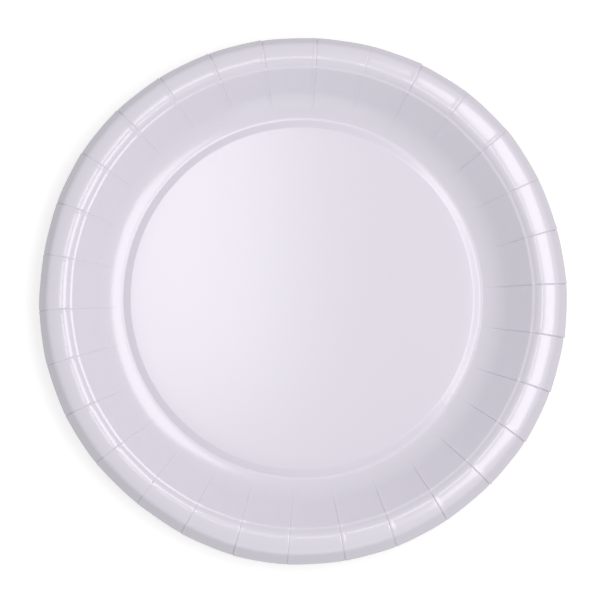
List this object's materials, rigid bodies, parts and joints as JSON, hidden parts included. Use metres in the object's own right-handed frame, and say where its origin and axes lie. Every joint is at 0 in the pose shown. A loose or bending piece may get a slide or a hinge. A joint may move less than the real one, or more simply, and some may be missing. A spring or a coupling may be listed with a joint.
{
  "type": "paper plate",
  "caption": "Round disposable plate of coated paperboard with a raised flat centre, sloping wall, ledge and pleated, turned-down rim.",
  "frame": {"origin": "on the plate's axis, in the plane of the foot ring that rests on the table", "axes": "+Z along the axis, up out of the open side; +X and +Y level, with the first pleat 3 degrees round from +X"},
  "size_m": [0.23, 0.23, 0.0183],
  "materials": {
    "coated_board": "satin coated board"
  },
  "bodies": {
    "root": {"plate": "coated_board"}
  },
  "joints": []
}
